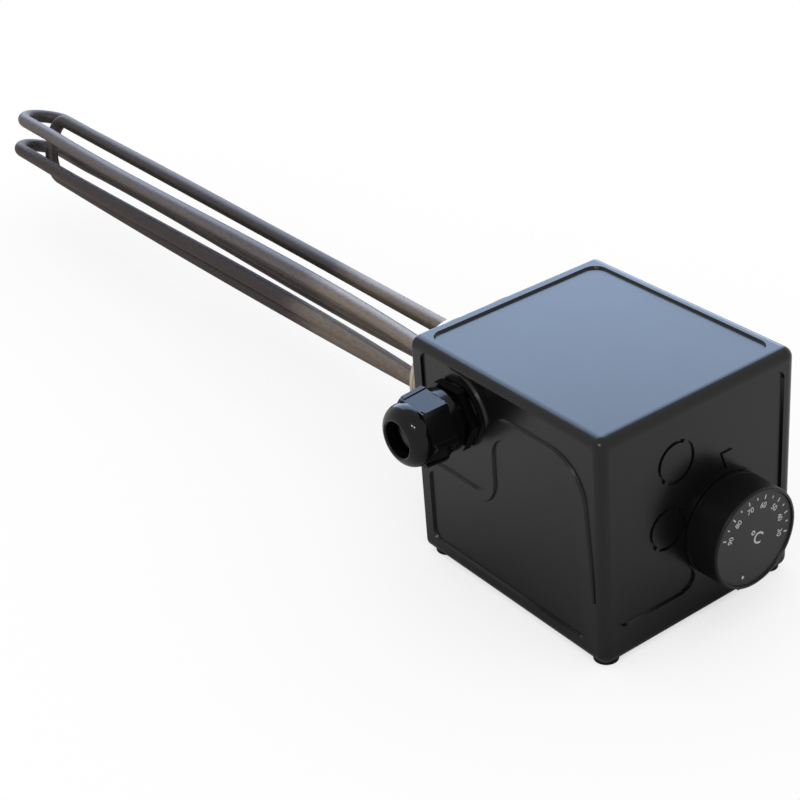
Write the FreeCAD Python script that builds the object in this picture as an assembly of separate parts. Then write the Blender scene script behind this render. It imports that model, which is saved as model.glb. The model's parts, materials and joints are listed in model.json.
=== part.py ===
import FreeCAD, Part
import math
import os

from FreeCAD import Vector

# Screw plug immersion heater: three hairpin elements in a G 2 plug, with a moulded terminal hood,
# a thermostat knob and a cable gland. Millimetres. The origin is the centre of the plug's sealing
# face, +Y points along the elements into the tank and +Z points up. The knob faces -Y.

# Cutting tools run this far past the faces that they cut, and joined forms sink in as far.
OVERRUN = 1.0

# Plug
THREAD_DIAMETER = 59.6
THREAD_LENGTH = 24.0
THREAD_CHAMFER = 1.5
HEX_ACROSS_FLATS = 70.0
HEX_LENGTH = 13.5
HEX_TURN = 0.0
HEX_CHAMFER_ANGLE = 30.0
SPIGOT_DIAMETER = 48.0
SPIGOT_CHAMFER = 1.0
SPIGOT_STANDS_OUT = 3.0
BRAZE_GAP = 0.1
BRAZE_WIDTH = 1.2
BRAZE_HEIGHT = 1.0

# Heating elements
TUBE_DIAMETER = 8.5
LEG_CIRCLE_RADIUS = 17.25
FIRST_LEG_ANGLE = 16.3
LEG_COUNT = 6
LONG_HAIRPIN_REACH = 487.7
CROSS_HAIRPIN_REACH = 460.0
TUBE_STANDS_OUT = 5.0

# Terminal pins of the elements
PIN_DIAMETER = 4.0
PIN_LENGTH = 22.0
BEAD_DIAMETER = 8.0
BEAD_LENGTH = 5.0
PIN_GAP = 0.1
PIN_NUT_ACROSS_FLATS = 7.0
PIN_NUT_THICKNESS = 3.2
STAR_LINK_WIDTH = 7.0
STAR_LINK_THICKNESS = 1.0
STAR_LINK_EYE = 8.4

# Thermostat sensor
POCKET_DIAMETER = 10.0
POCKET_WALL = 1.0
POCKET_REACH = 250.0
BULB_DIAMETER = 6.4
BULB_LENGTH = 110.0
BULB_END_GAP = 6.0
CAPILLARY_DIAMETER = 2.0
CAPILLARY_BEND = 12.0

# Base plate, its gasket and the round nut that clamps it
HOUSING_GASKET_THICKNESS = 1.5
HOUSING_GASKET_DIAMETER = 68.0
COLLAR_DIAMETER = 107.8
COLLAR_THICKNESS = 6.4
COLLAR_EDGE = 1.5
PLATE_THICKNESS = 6.0
PLATE_GAP = 0.2
PLATE_SKIN = 2.5
PLATE_RIM = 3.0
PLATE_RIB = 2.0
PLATE_RIB_COUNT = 8
SPIGOT_GAP = 0.2
LOCKNUT_DIAMETER = 60.0
LOCKNUT_THICKNESS = 7.0
LOCKNUT_SLOTS = 6
LOCKNUT_SLOT_WIDTH = 6.0
LOCKNUT_SLOT_DEPTH = 2.5

# Hood
HOOD_WIDTH = 115.6
HOOD_HEIGHT = 115.6
HOOD_DEPTH = 126.8
HOOD_WALL = 3.5
HOOD_EDGE_RADIUS = 5.0
HOOD_REAR_RADIUS = 1.6
HOOD_INNER_RADIUS = 2.5
FOOT_DIAMETER = 11.5
FOOT_HEIGHT = 1.0
FOOT_FROM_EDGE = 7.5

# Recessed panels of the hood. Margins run from the hood's faces to a panel's floor.
RECESS_DEPTH = 1.2
RECESS_SLOPE = 0.7
RECESS_CORNER = 4.2
TOP_MARGIN_SIDE = 7.3
TOP_MARGIN_FRONT = 8.8
TOP_MARGIN_REAR = 5.6
TOP_CORNER = 6.0
SIDE_MARGIN_FRONT = 5.6
SIDE_MARGIN_REAR = 7.6
SIDE_MARGIN_BOTTOM = 9.2
SIDE_MARGIN_TOP = 4.7
FRONT_MARGIN_SIDE = 8.1
FRONT_MARGIN_BOTTOM = 17.9
FRONT_MARGIN_TOP = 8.8
FRONT_CORNER = 6.5

# Raised rib and round boss that stand in the left side's panel, up to the hood's face. The rib
# starts at the rear margin below the gland, climbs in front of it, runs forward and sweeps down.
BOSS_DIAMETER = 43.6
GLAND_SEAT_RADIUS = 28.0
RIB_BELOW_GLAND = 35.5
RIB_REAR_WIDTH = 4.9
RIB_CLIMB_FROM_GLAND = 19.7
RIB_CLIMB_WIDTH = 4.7
RIB_LOW_RADIUS = 8.6
RIB_HIGH_RADIUS = 17.7
RIB_TOP_ABOVE_GLAND = 10.7
RIB_TOP_WIDTH = 9.2
RIB_SWEEP_RADIUS = 22.2
RIB_FRONT_WIDTH = 7.4
RIB_FRONT_HIGH = 12.0
RIB_FRONT_GAP = 5.2
RIB_FRONT_LEAN = 0.0875
RIB_FRONT_TIP = 57.0
RIB_FRONT_TIP_RADIUS = 0.2

# Knock-outs and pointer on the hood's front
KNOCKOUT_DIAMETER = 18.0
KNOCKOUT_GROOVE = 1.8
KNOCKOUT_DEPTH = 1.0
KNOCKOUT_BRIDGE = 2.4
KNOCKOUT_BRIDGE_ANGLE = 55.0
KNOCKOUT_PLACES = ((-13.9, 29.4), (-19.0, -2.3))
POINTER_WIDTH = 6.5
POINTER_HEIGHT = 8.6
POINTER_RAISED = 0.8
POINTER_FROM_KNOB = 2.4
POINTER_SHIFT = 1.2

# Hood screws
HOOD_SCREW_DIAMETER = 4.0
HOOD_SCREW_HEAD = 7.6
HOOD_SCREW_HEAD_HEIGHT = 2.4
HOOD_SCREW_LENGTH = 12.0
HOOD_SCREW_FROM_EDGE = 10.5
HOOD_POST_DIAMETER = 9.0
HOOD_POST_LENGTH = 8.5
HOOD_POST_WEB = 2.0
SCREW_FIT = 0.05
SCREW_CLEARANCE = 0.2
SCREW_CROSS = 0.6
SCREW_CROSS_WIDTH = 0.4
SCREW_SLOT_WIDTH = 0.2

# Thermostat knob
KNOB_X = 15.0
KNOB_Z = -14.0
KNOB_BASE_DIAMETER = 49.8
KNOB_RIM_DIAMETER = 49.2
KNOB_HEIGHT = 18.0
KNOB_GAP = 0.4
KNOB_BASE_RING = 2.0
KNOB_GROOVE = 0.6
KNOB_WALL = 1.8
KNOB_EDGE_RADIUS = 1.0
KNOB_LIP = 1.5
DIAL_DEPTH = 0.8
DIAL_THICKNESS = 2.0
KNOB_HUB_DIAMETER = 11.0
KNOB_HUB_LENGTH = 12.0
KNOB_RIB_COUNT = 6
KNOB_RIB = 1.2
KNOB_RIB_DEPTH = 7.0
GRIP_DIAMETER = 1.8
GRIP_ANGLES = (-136.3, 161.2)
PAD_MARGIN = 0.7
PAD_CUSP_RADIUS = 6.0

# Thermostat
SPINDLE_DIAMETER = 6.0
SPINDLE_FLAT = 1.5
SPINDLE_FLAT_LENGTH = 9.0
SPINDLE_GAP = 0.05
SPINDLE_IN_BODY = 4.0
SPINDLE_HOLD = 9.0
BUSHING_DIAMETER = 9.6
BUSHING_LENGTH = 2.6
BUSHING_CLEARANCE = 0.5
THERMOSTAT_WIDTH = 50.0
THERMOSTAT_HEIGHT = 40.0
THERMOSTAT_DEPTH = 32.0
THERMOSTAT_STRAP = 1.5
THERMOSTAT_STRAP_HEIGHT = 22.0
THERMOSTAT_TAB_WIDTH = 6.3
THERMOSTAT_TAB_THICKNESS = 0.8
THERMOSTAT_TAB_LENGTH = 8.0
THERMOSTAT_TAB_PITCH = 14.0
THERMOSTAT_SCREW_SPACING = 28.0
THERMOSTAT_SCREW_DIAMETER = 4.0
THERMOSTAT_SCREW_HEAD = 7.0
THERMOSTAT_SCREW_HEAD_HEIGHT = 2.2
THERMOSTAT_SCREW_LENGTH = 7.0

# Earth stud
EARTH_DIAMETER = 4.0
EARTH_LENGTH = 20.0
EARTH_IN_PLUG = 8.0
EARTH_NUT_THICKNESS = 3.2

# Terminal block and its bracket
BRACKET_WIDTH = 58.0
BRACKET_X = 12.0
BRACKET_SHEET = 1.5
BRACKET_FOOT = 12.0
BRACKET_REACH = 46.0
BRACKET_FROM_LOCKNUT = 4.0
BRACKET_BEND = 2.0
BRACKET_SCREW_DIAMETER = 4.0
BRACKET_SCREW_HEAD = 7.0
BRACKET_SCREW_HEAD_HEIGHT = 2.2
BRACKET_SCREW_IN_PLATE = 5.0
BRACKET_SCREW_SPACING = 36.0
BLOCK_POLES = 5
BLOCK_PITCH = 8.4
BLOCK_LENGTH = 20.0
BLOCK_HEIGHT = 12.5
BLOCK_FROM_END = 3.0
BLOCK_EAR = 6.5
BLOCK_EAR_HEIGHT = 4.0
BLOCK_GAP = 0.1
CLAMP_WIDTH = 5.0
CLAMP_HEIGHT = 6.0
CLAMP_LENGTH = 16.0
CLAMP_ABOVE_FOOT = 2.5
CLAMP_BORE = 3.4
CLAMP_SCREW_DIAMETER = 3.0
CLAMP_SCREW_HEAD = 4.0
CLAMP_SCREW_HEAD_HEIGHT = 1.6
CLAMP_SCREW_SPACING = 9.0
BLOCK_SCREW_DIAMETER = 3.0
BLOCK_SCREW_HEAD = 5.4
BLOCK_SCREW_HEAD_HEIGHT = 1.8
BLOCK_SCREW_TAIL = 2.5

# Cable gland
GLAND_FROM_REAR = 31.0
GLAND_Z = 31.0
GLAND_THREAD_DIAMETER = 25.0
GLAND_HEX_ACROSS_FLATS = 29.3
GLAND_HEX_LENGTH = 4.6
GLAND_HEX_TURN = 31.7
GLAND_GASKET_THICKNESS = 0.8
GLAND_GASKET_WIDTH = 1.8
GLAND_INNER_REACH = 11.0
GLAND_BORE = 18.0
GLAND_NECK_DIAMETER = 24.0
GLAND_NECK_LENGTH = 9.5
GLAND_FINGER_LENGTH = 9.5
GLAND_FINGER_TIP_DIAMETER = 20.6
GLAND_FINGERS = 10
GLAND_FINGER_SLOT = 1.0
GLAND_HOLE_CLEARANCE = 0.15
GLAND_CHAMFER = 1.0
GLAND_LOCKNUT_ACROSS_FLATS = 32.0
GLAND_LOCKNUT_THICKNESS = 5.5
GLAND_NUT_GAP = 0.3
NUT_BEHIND_HEX = 3.0
NUT_COLLAR_DIAMETER = 30.6
NUT_COLLAR_LENGTH = 4.4
NUT_HEX_REAR = 31.1
NUT_HEX_FRONT = 29.7
NUT_HEX_LENGTH = 13.3
NUT_HEX_TURN = 25.2
NUT_DOME_LENGTH = 8.3
NUT_HOLE_DIAMETER = 17.2
NUT_FLAT_RECESS = 0.5
NUT_CORNER_STRIP = 4.2
NUT_CORNER_CHAMFER = 2.0
NUT_RIM = 1.0
SEAL_BORE = 12.5
SEAL_LENGTH = 20.0
SEAL_LIP = 1.5
SEAL_GAP = 0.3

# Planes along Y, from the sealing face back to the hood's front
y_hex = -HEX_LENGTH
y_gasket = y_hex - HOUSING_GASKET_THICKNESS
y_hood_rear = y_gasket - COLLAR_THICKNESS
y_plate = y_hood_rear - PLATE_THICKNESS
y_locknut = y_plate - LOCKNUT_THICKNESS
y_spigot = y_locknut - SPIGOT_STANDS_OUT
y_tube = y_spigot - TUBE_STANDS_OUT
y_bead = y_tube - BEAD_LENGTH
y_link = y_bead - PIN_NUT_THICKNESS
y_pin_nut = y_link - STAR_LINK_THICKNESS
y_hood_front = y_hood_rear - HOOD_DEPTH
y_inner_front = y_hood_front + HOOD_WALL
y_strap = y_inner_front + THERMOSTAT_STRAP
y_thermostat = y_strap + THERMOSTAT_DEPTH
y_knob_back = y_hood_front - KNOB_GAP
y_knob_front = y_knob_back - KNOB_HEIGHT
y_dial = y_knob_front + DIAL_DEPTH
y_dial_back = y_dial + DIAL_THICKNESS
y_gland = y_hood_rear - GLAND_FROM_REAR

# Half sizes and faces of the hood
half_width = HOOD_WIDTH / 2
half_height = HOOD_HEIGHT / 2
inner_x = half_width - HOOD_WALL
inner_z = half_height - HOOD_WALL
screw_x = half_width - HOOD_SCREW_FROM_EDGE
screw_z = half_height - HOOD_SCREW_FROM_EDGE
screw_places = [(sx * screw_x, sz * screw_z) for sx in (-1, 1) for sz in (-1, 1)]

# Stations along the gland's axis, measured from the part's middle plane towards -X
h_gland_floor = half_width - RECESS_DEPTH
h_gland_hex = h_gland_floor + GLAND_GASKET_THICKNESS
h_gland_neck = h_gland_hex + GLAND_HEX_LENGTH
h_gland_finger = h_gland_neck + GLAND_NECK_LENGTH
h_gland_tip = h_gland_finger + GLAND_FINGER_LENGTH
h_gland_inner = inner_x - GLAND_INNER_REACH
h_seal_end = h_gland_tip + 2 * SEAL_LIP
h_nut = h_gland_neck + NUT_BEHIND_HEX
h_nut_hex = h_nut + NUT_COLLAR_LENGTH
h_nut_dome = h_nut_hex + NUT_HEX_LENGTH
h_nut_end = h_nut_dome + NUT_DOME_LENGTH

leg_angles = [FIRST_LEG_ANGLE + k * 360.0 / LEG_COUNT for k in range(LEG_COUNT)]
star_angles = leg_angles[1:4]
earth_angle = FIRST_LEG_ANGLE + 180.0 / LEG_COUNT
tube_radius = TUBE_DIAMETER / 2
pin_radius = PIN_DIAMETER / 2
bracket_z = LOCKNUT_DIAMETER / 2 + BRACKET_FROM_LOCKNUT


def box(x0, x1, y0, y1, z0, z1):
    return Part.makeBox(x1 - x0, y1 - y0, z1 - z0, Vector(x0, y0, z0))


def bar_y(radius, x, z, y0, y1):
    return Part.makeCylinder(radius, y1 - y0, Vector(x, y0, z), Vector(0, 1, 0))


def bar_z(radius, x, y, z0, z1):
    return Part.makeCylinder(radius, z1 - z0, Vector(x, y, z0), Vector(0, 0, 1))


def polar(angle, radius):
    turn = math.radians(angle)
    return radius * math.cos(turn), radius * math.sin(turn)


def placed(shape, centre, direction):
    turn = FreeCAD.Rotation(Vector(0, 0, 1), direction)
    copy = shape.copy()
    copy.Placement = FreeCAD.Placement(centre, turn).multiply(copy.Placement)
    return copy


def turned(profile, centre, direction):
    # The profile is a closed list of (radius, distance along the axis).
    points = [Vector(r, 0, h) for r, h in profile]
    face = Part.Face(Part.makePolygon(points + points[:1]))
    return placed(face.revolve(Vector(0, 0, 0), Vector(0, 0, 1), 360), centre, direction)


def hexagon(across_flats, h0, h1, turn_angle, centre, direction, front_across_flats=None):
    # A hexagonal prism, or a taper when the front size differs.
    rings = []
    for size, h in ((across_flats, h0), (front_across_flats or across_flats, h1)):
        radius = size / 2 / math.cos(math.pi / 6)
        corners = [polar(turn_angle + 60 * k, radius) for k in range(7)]
        rings.append([Vector(a, b, h) for a, b in corners])
    faces = [Part.Face(Part.makePolygon(ring)) for ring in rings]
    for k in range(6):
        side = [rings[0][k], rings[0][k + 1], rings[1][k + 1], rings[1][k], rings[0][k]]
        faces.append(Part.Face(Part.makePolygon(side)))
    solid = Part.Solid(Part.Shell(faces))
    if solid.Volume < 0:
        solid.reverse()
    return placed(solid, centre, direction)


def rounded(corners):
    # A closed outline from (a, b, radius) corners, with tangent arcs.
    starts = []
    ends = []
    mids = []
    count = len(corners)
    for k in range(count):
        here = Vector(corners[k][0], corners[k][1], 0)
        before = Vector(corners[k - 1][0], corners[k - 1][1], 0)
        after = Vector(corners[(k + 1) % count][0], corners[(k + 1) % count][1], 0)
        to_before = (before - here).normalize()
        to_after = (after - here).normalize()
        half = to_before.getAngle(to_after) / 2
        radius = corners[k][2]
        reach = radius / math.tan(half)
        middle = (to_before + to_after).normalize()
        centre = here + middle * (radius / math.sin(half))
        starts.append(here + to_before * reach)
        ends.append(here + to_after * reach)
        mids.append(centre - middle * radius)
    edges = []
    for k in range(count):
        edges.append(Part.Arc(starts[k], mids[k], ends[k]).toShape())
        edges.append(Part.makeLine(ends[k], starts[(k + 1) % count]))
    return Part.Wire(edges)


def sloped_pocket(corners, depth, slope):
    # A pocket tool in the XY plane: the floor lies at -depth and the walls lean out to the rim.
    floor = rounded(corners)
    face = Part.Face(floor)
    rim = face.makeOffset2D(slope).OuterWire
    above = face.makeOffset2D(2 * slope).OuterWire
    floor.translate(Vector(0, 0, -depth))
    above.translate(Vector(0, 0, depth))
    return Part.makeLoft([floor, rim, above], True, True)


def on_top(shape):
    return shape.translated(Vector(0, 0, half_height))


def on_bottom(shape):
    turn = shape.copy()
    turn.rotate(Vector(0, 0, 0), Vector(0, 1, 0), 180)
    return turn.translated(Vector(0, 0, -half_height))


def on_left(shape):
    # The outline's (a, b) become (-Y, Z) and its depth runs inwards from the -X face.
    turn = shape.copy()
    turn.transformShape(FreeCAD.Matrix(0, 0, -1, 0, -1, 0, 0, 0, 0, 1, 0, 0, 0, 0, 0, 1))
    return turn.translated(Vector(-half_width, 0, 0))


def on_right(shape):
    # The outline's (a, b) become (Y, Z) and its depth runs inwards from the +X face.
    turn = shape.copy()
    turn.transformShape(FreeCAD.Matrix(0, 0, 1, 0, 1, 0, 0, 0, 0, 1, 0, 0, 0, 0, 0, 1))
    return turn.translated(Vector(half_width, 0, 0))


def on_front(shape):
    # The outline's (a, b) become (X, Z) and its depth runs inwards from the -Y face.
    turn = shape.copy()
    turn.transformShape(FreeCAD.Matrix(1, 0, 0, 0, 0, 0, -1, 0, 0, 1, 0, 0, 0, 0, 0, 1))
    return turn.translated(Vector(0, y_hood_front, 0))


def top_recess():
    x = half_width - TOP_MARGIN_SIDE
    front = y_hood_front + TOP_MARGIN_FRONT
    rear = y_hood_rear - TOP_MARGIN_REAR
    r = TOP_CORNER
    corners = [(-x, front, r), (x, front, r), (x, rear, r), (-x, rear, r)]
    return sloped_pocket(corners, RECESS_DEPTH, RECESS_SLOPE)


def side_recess():
    front = y_hood_front + SIDE_MARGIN_FRONT
    rear = y_hood_rear - SIDE_MARGIN_REAR
    bottom = -half_height + SIDE_MARGIN_BOTTOM
    top = half_height - SIDE_MARGIN_TOP
    r = RECESS_CORNER
    corners = [(front, bottom, r), (rear, bottom, r), (rear, top, r), (front, top, r)]
    return sloped_pocket(corners, RECESS_DEPTH, RECESS_SLOPE)


def rib_front(z, behind):
    # The rib's front leg leans forward as it goes down. The distance runs forward from y = 0.
    level = GLAND_Z - RIB_FRONT_HIGH
    ahead = RIB_FRONT_LEAN * (level - z)
    return -y_hood_front - SIDE_MARGIN_FRONT - RIB_FRONT_GAP + ahead - behind


def panel_behind_rib():
    # The large panel below and behind the rib, on the left side.
    s = RECESS_SLOPE
    rear = -y_hood_rear + SIDE_MARGIN_REAR
    bottom = -half_height + SIDE_MARGIN_BOTTOM
    below = GLAND_Z - RIB_BELOW_GLAND - RIB_REAR_WIDTH - s
    climb = -y_gland + RIB_CLIMB_FROM_GLAND + RIB_CLIMB_WIDTH + s
    above = GLAND_Z + RIB_TOP_ABOVE_GLAND - RIB_TOP_WIDTH - s
    corners = [
        (rear, bottom, RECESS_CORNER),
        (rear, below, RECESS_CORNER),
        (climb, below, RIB_LOW_RADIUS + RIB_CLIMB_WIDTH + s),
        (climb, above, RIB_HIGH_RADIUS - RIB_CLIMB_WIDTH - s),
        (rib_front(above, RIB_FRONT_WIDTH + s), above, RIB_SWEEP_RADIUS - RIB_FRONT_WIDTH - s),
        (rib_front(bottom, RIB_FRONT_WIDTH + s), bottom, RECESS_CORNER),
    ]
    return sloped_pocket(corners, RECESS_DEPTH, s)


def panel_round_gland():
    # The panel round the gland, which runs on above and in front of the rib to a narrow tip.
    s = RECESS_SLOPE
    rear = -y_hood_rear + SIDE_MARGIN_REAR
    front = -y_hood_front - SIDE_MARGIN_FRONT
    top = half_height - SIDE_MARGIN_TOP
    low = GLAND_Z - RIB_BELOW_GLAND + s
    climb = -y_gland + RIB_CLIMB_FROM_GLAND - s
    rib_top = GLAND_Z + RIB_TOP_ABOVE_GLAND + s
    tip = GLAND_Z - RIB_FRONT_TIP
    corners = [
        (rear, low, RECESS_CORNER),
        (climb, low, RIB_LOW_RADIUS - s),
        (climb, rib_top, RIB_HIGH_RADIUS + s),
        (rib_front(rib_top, -s), rib_top, RIB_SWEEP_RADIUS + s),
        (rib_front(tip, -s), tip, RIB_FRONT_TIP_RADIUS),
        (front, tip, RIB_FRONT_TIP_RADIUS),
        (front, top, RECESS_CORNER),
        (rear, top, RECESS_CORNER),
    ]
    pocket = sloped_pocket(corners, RECESS_DEPTH, s)
    base = Vector(-y_gland, GLAND_Z, -RECESS_DEPTH)
    r = BOSS_DIAMETER / 2
    return pocket.cut(Part.makeCone(r + s, r - s, 2 * RECESS_DEPTH, base, Vector(0, 0, 1)))


def gland_seat():
    # The flat floor under the gland. It leaves a raised curved strip in front of the gland.
    s = RECESS_SLOPE
    rear = -y_hood_rear + SIDE_MARGIN_REAR
    top = half_height - SIDE_MARGIN_TOP
    low = GLAND_Z - RIB_BELOW_GLAND + s
    climb = -y_gland + RIB_CLIMB_FROM_GLAND - s
    corners = [
        (rear, low, RECESS_CORNER),
        (climb, low, RIB_LOW_RADIUS - s),
        (climb, top, GLAND_SEAT_RADIUS),
        (rear, top, RECESS_CORNER),
    ]
    return sloped_pocket(corners, RECESS_DEPTH, s)


def knob_pad():
    # The raised round pad under the knob, with the two cusps beside it filled by arcs.
    radius = KNOB_BASE_DIAMETER / 2 + PAD_MARGIN
    bottom = -half_height + FRONT_MARGIN_BOTTOM
    drop = KNOB_Z - bottom - PAD_CUSP_RADIUS
    reach = math.sqrt((radius + PAD_CUSP_RADIUS) ** 2 - drop ** 2)
    tall = RECESS_DEPTH * 3
    pad = Part.makeCylinder(radius, tall, Vector(KNOB_X, KNOB_Z, -RECESS_DEPTH))
    low = bottom - RECESS_SLOPE * 2
    x0 = KNOB_X - reach
    x1 = KNOB_X + reach
    z1 = bottom + PAD_CUSP_RADIUS
    corners = [Vector(x0, low, 0), Vector(x1, low, 0), Vector(x1, z1, 0), Vector(KNOB_X, KNOB_Z, 0)]
    corners += [Vector(x0, z1, 0), Vector(x0, low, 0)]
    filler = Part.Face(Part.makePolygon(corners)).extrude(Vector(0, 0, tall))
    filler.translate(Vector(0, 0, -RECESS_DEPTH))
    for x in (x0, x1):
        centre = Vector(x, z1, -2 * RECESS_DEPTH)
        filler = filler.cut(Part.makeCylinder(PAD_CUSP_RADIUS, 2 * tall, centre))
    return pad.fuse(filler)


def front_recess():
    x = half_width - FRONT_MARGIN_SIDE
    bottom = -half_height + FRONT_MARGIN_BOTTOM
    top = half_height - FRONT_MARGIN_TOP
    r = FRONT_CORNER
    corners = [(-x, bottom, r), (x, bottom, r), (x, top, RECESS_CORNER), (-x, top, RECESS_CORNER)]
    return sloped_pocket(corners, RECESS_DEPTH, RECESS_SLOPE).cut(knob_pad())


def knockout_groove(x, z):
    inner = KNOCKOUT_DIAMETER / 2
    outer = inner + KNOCKOUT_GROOVE
    y0 = y_hood_front + RECESS_DEPTH - KNOCKOUT_DEPTH
    y1 = y_hood_front + RECESS_DEPTH + KNOCKOUT_DEPTH
    groove = bar_y(outer, x, z, y0, y1).cut(bar_y(inner, x, z, y0, y1))
    half = KNOCKOUT_BRIDGE / 2
    bridge = box(x - 2 * outer, x + 2 * outer, y0, y1, z - half, z + half)
    bridge.rotate(Vector(x, 0, z), Vector(0, 1, 0), -KNOCKOUT_BRIDGE_ANGLE)
    return groove.cut(bridge)


def pointer():
    apex = KNOB_Z + KNOB_BASE_DIAMETER / 2 + POINTER_FROM_KNOB
    x = KNOB_X + POINTER_SHIFT
    x0 = x - POINTER_WIDTH / 2
    x1 = x + POINTER_WIDTH / 2
    z1 = apex + POINTER_HEIGHT
    floor = y_hood_front + RECESS_DEPTH
    points = [Vector(x0, floor, z1), Vector(x1, floor, z1), Vector(x, floor, apex)]
    return Part.Face(Part.makePolygon(points + points[:1])).extrude(Vector(0, -POINTER_RAISED, 0))


def hood_shell():
    outer = box(-half_width, half_width, y_hood_front, y_hood_rear, -half_height, half_height)
    near_rear = y_hood_rear - HOOD_REAR_RADIUS / 2
    other_edges = [e for e in outer.Edges if e.BoundBox.YMin < near_rear]
    outer = outer.makeFillet(HOOD_EDGE_RADIUS, other_edges)
    rear_edges = [e for e in outer.Edges if e.BoundBox.YMin > near_rear]
    outer = outer.makeFillet(HOOD_REAR_RADIUS, rear_edges)
    cavity = box(-inner_x, inner_x, y_inner_front, y_hood_rear + OVERRUN, -inner_z, inner_z)
    inner_edges = [e for e in cavity.Edges if e.BoundBox.YMin < y_hood_rear]
    return outer.cut(cavity.makeFillet(HOOD_INNER_RADIUS, inner_edges))


def hood_posts():
    posts = []
    radius = HOOD_POST_DIAMETER / 2
    for x, z in screw_places:
        sx = math.copysign(1, x)
        sz = math.copysign(1, z)
        y0 = y_plate - HOOD_POST_LENGTH
        post = bar_y(radius, x, z, y0, y_plate)
        half = HOOD_POST_WEB / 2
        ends_x = sorted((x, sx * (inner_x + half)))
        ends_z = sorted((z, sz * (inner_z + half)))
        web_x = box(ends_x[0], ends_x[1], y0, y_plate, z - half, z + half)
        web_z = box(x - half, x + half, y0, y_plate, ends_z[0], ends_z[1])
        posts.append(post.fuse([web_x, web_z]))
    return posts


def hood():
    shell = hood_shell()
    feet = []
    for sx in (-1, 1):
        for y in (y_hood_front + FOOT_FROM_EDGE, y_hood_rear - FOOT_FROM_EDGE):
            x = sx * (half_width - FOOT_FROM_EDGE)
            sole = -half_height - FOOT_HEIGHT
            feet.append(bar_z(FOOT_DIAMETER / 2, x, y, sole, -inner_z - HOOD_WALL / 4))
    shell = shell.fuse(hood_posts() + feet)
    cuts = [on_top(top_recess()), on_bottom(mirrored(top_recess())), on_right(side_recess())]
    cuts += [on_left(panel_behind_rib()), on_left(panel_round_gland()), on_left(gland_seat())]
    cuts.append(on_front(front_recess()))
    cuts += [knockout_groove(x, z) for x, z in KNOCKOUT_PLACES]
    hole = GLAND_THREAD_DIAMETER / 2 + GLAND_HOLE_CLEARANCE
    cuts.append(gland_bar(hole, h_gland_inner, h_gland_hex))
    bushing = BUSHING_DIAMETER / 2 + BUSHING_CLEARANCE
    cuts.append(bar_y(bushing, KNOB_X, KNOB_Z, y_hood_front - OVERRUN, y_inner_front + OVERRUN))
    for x in thermostat_screw_places():
        hole = THERMOSTAT_SCREW_DIAMETER / 2 + SCREW_CLEARANCE
        cuts.append(bar_y(hole, x, KNOB_Z, y_hood_front - OVERRUN, y_inner_front + OVERRUN))
    for x, z in screw_places:
        hole = HOOD_SCREW_DIAMETER / 2 + SCREW_FIT
        cuts.append(bar_y(hole, x, z, y_plate - HOOD_POST_LENGTH - OVERRUN, y_plate + OVERRUN))
    for cut in cuts:
        shell = shell.cut(cut)
    return shell.fuse(pointer())


def mirrored(shape):
    return shape.mirror(Vector(0, 0, 0), Vector(1, 0, 0))


def thermostat_screw_places():
    return (KNOB_X - THERMOSTAT_SCREW_SPACING / 2, KNOB_X + THERMOSTAT_SCREW_SPACING / 2)


def pan_screw_y(x, z, y_seat, shank, length, head, head_height, into):
    # A pan-head screw along Y. The head stands on y_seat and the shank runs the way that into points.
    r = head / 2
    crown = head_height / 3
    profile = [(0, -head_height), (r - crown, -head_height), (r, -head_height + crown), (r, 0)]
    profile += [(shank / 2, 0), (shank / 2, length), (0, length)]
    screw = turned(profile, Vector(x, y_seat, z), Vector(0, into, 0))
    ends = sorted((y_seat - into * head_height, y_seat - into * head_height / 2))
    reach = r * SCREW_CROSS
    half = reach * SCREW_CROSS_WIDTH / 2
    slot = box(x - reach, x + reach, ends[0], ends[1], z - half, z + half)
    cross = box(x - half, x + half, ends[0], ends[1], z - reach, z + reach)
    return screw.cut(slot.fuse(cross))


def plug():
    r = THREAD_DIAMETER / 2
    s = SPIGOT_DIAMETER / 2
    core = [
        (0, y_spigot),
        (s - SPIGOT_CHAMFER, y_spigot),
        (s, y_spigot + SPIGOT_CHAMFER),
        (s, y_hex / 2),
        (r, y_hex / 2),
        (r, THREAD_LENGTH - THREAD_CHAMFER),
        (r - THREAD_CHAMFER, THREAD_LENGTH),
        (0, THREAD_LENGTH),
    ]
    along = Vector(0, 1, 0)
    origin = Vector(0, 0, 0)
    corner = HEX_ACROSS_FLATS / 2 / math.cos(math.pi / 6)
    face = HEX_ACROSS_FLATS / 2
    rise = (corner - face) * math.tan(math.radians(HEX_CHAMFER_ANGLE))
    limit = [(0, y_hex), (face, y_hex), (corner, y_hex + rise), (corner, -rise), (face, 0), (0, 0)]
    nut = hexagon(HEX_ACROSS_FLATS, y_hex, 0, HEX_TURN, origin, along)
    body = turned(core, origin, along).fuse(nut.common(turned(limit, origin, along)))
    holes = [(tube_radius + BRAZE_GAP, polar(a, LEG_CIRCLE_RADIUS)) for a in leg_angles]
    holes.append((POCKET_DIAMETER / 2 + BRAZE_GAP, (0, 0)))
    for radius, (x, z) in holes:
        low = THREAD_LENGTH - BRAZE_WIDTH
        high = THREAD_LENGTH + BRAZE_HEIGHT
        foot = radius + BRAZE_WIDTH
        bead = [(0, low), (foot, low), (foot, THREAD_LENGTH), (radius, high), (0, high)]
        body = body.fuse(turned(bead, Vector(x, 0, z), along))
    for radius, (x, z) in holes:
        body = body.cut(bar_y(radius, x, z, y_spigot - OVERRUN, THREAD_LENGTH + BRAZE_HEIGHT + OVERRUN))
    x, z = polar(earth_angle, LEG_CIRCLE_RADIUS)
    return body.cut(bar_y(EARTH_DIAMETER / 2 + SCREW_FIT, x, z, y_spigot - OVERRUN, y_spigot + EARTH_IN_PLUG))


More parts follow.
